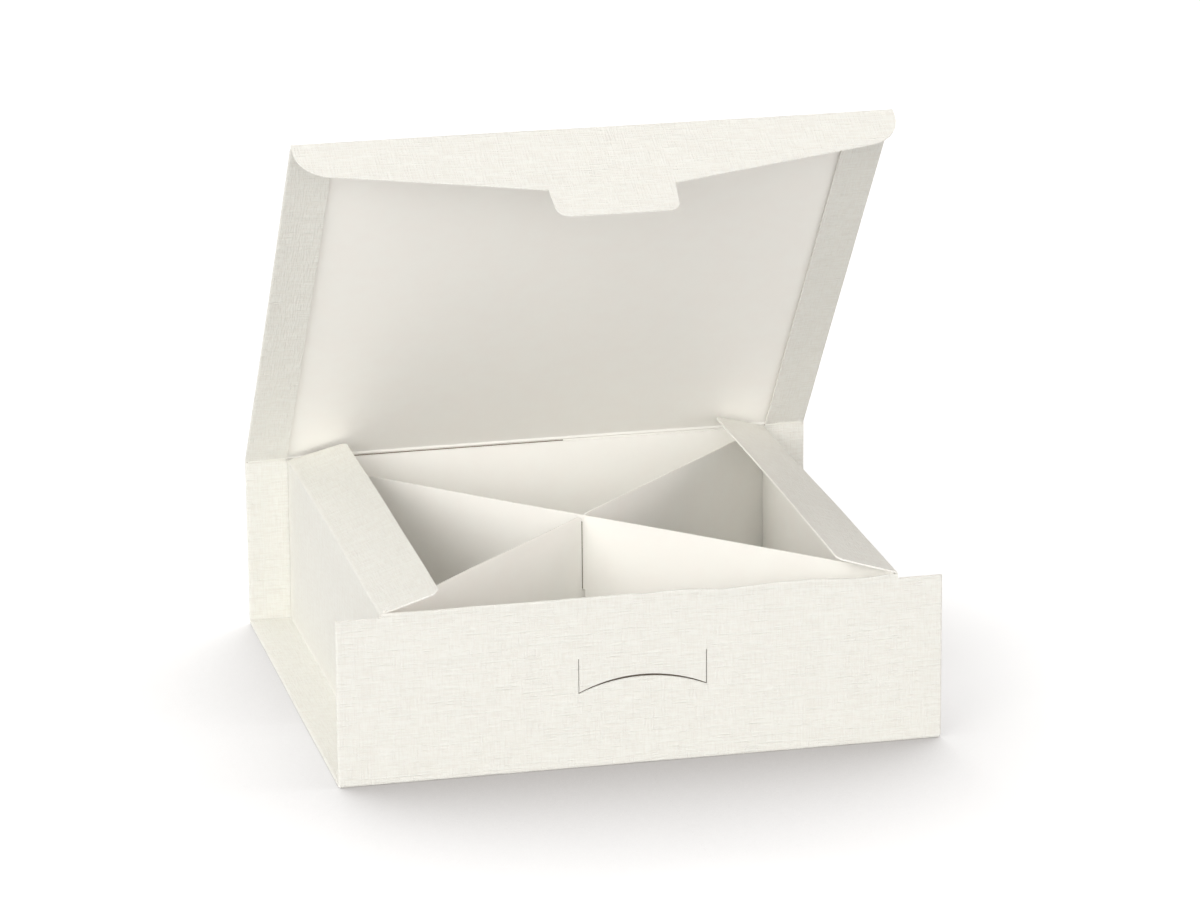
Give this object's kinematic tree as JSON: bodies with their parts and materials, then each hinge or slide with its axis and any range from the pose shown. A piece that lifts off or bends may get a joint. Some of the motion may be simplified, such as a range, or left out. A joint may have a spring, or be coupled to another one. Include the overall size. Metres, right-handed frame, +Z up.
{
  "type": "divided gift box",
  "caption": "Hinged-lid gift box folded from embossed white card, with recessed sides, a tab-locking tuck flap and a crossed divider insert.",
  "frame": {"origin": "centre of the underside, on the table", "axes": "+X along the width to the right, +Y from the front wall to the back wall, +Z up"},
  "size_m": [0.18, 0.1574, 0.1771],
  "materials": {
    "embossed_card": "linen-embossed, uncoated, matt",
    "smooth_card": "smooth, uncoated, matt"
  },
  "bodies": {
    "box": {"box_shell": "embossed_card", "divider_insert": "smooth_card"},
    "lid": {"lid_panel": "embossed_card"},
    "tuck_flap": {"tuck_flap": "embossed_card"},
    "dust_flap_left": {"dust_flap_left": "embossed_card"},
    "dust_flap_right": {"dust_flap_right": "embossed_card"}
  },
  "joints": [
    {"name": "lid_fold", "type": "hinge", "parent": "box", "child": "lid", "pos_m": [0, 0.07875, 0.0536], "axis": [-1, 0, 0], "range_deg": [-51, 129]},
    {"name": "tuck_fold", "type": "hinge", "parent": "lid", "child": "tuck_flap", "pos_m": [0, -0.02218, 0.17711], "axis": [-1, 0, 0], "range_deg": [-8.7, 81.3]},
    {"name": "dust_fold_left", "type": "hinge", "parent": "box", "child": "dust_flap_left", "pos_m": [-0.0768, 0.07875, 0.0529], "axis": [0, -1, -0.0044], "range_deg": [-18.7, 47.3]},
    {"name": "dust_fold_right", "type": "hinge", "parent": "box", "child": "dust_flap_right", "pos_m": [0.0768, 0.07875, 0.0529], "axis": [0, 1, 0.0044], "range_deg": [-18.7, 47.3]}
  ],
  "couplings": [
    {"joint": "dust_fold_left", "follows": "lid_fold", "ratio": 0.366},
    {"joint": "dust_fold_right", "follows": "lid_fold", "ratio": 0.366}
  ]
}
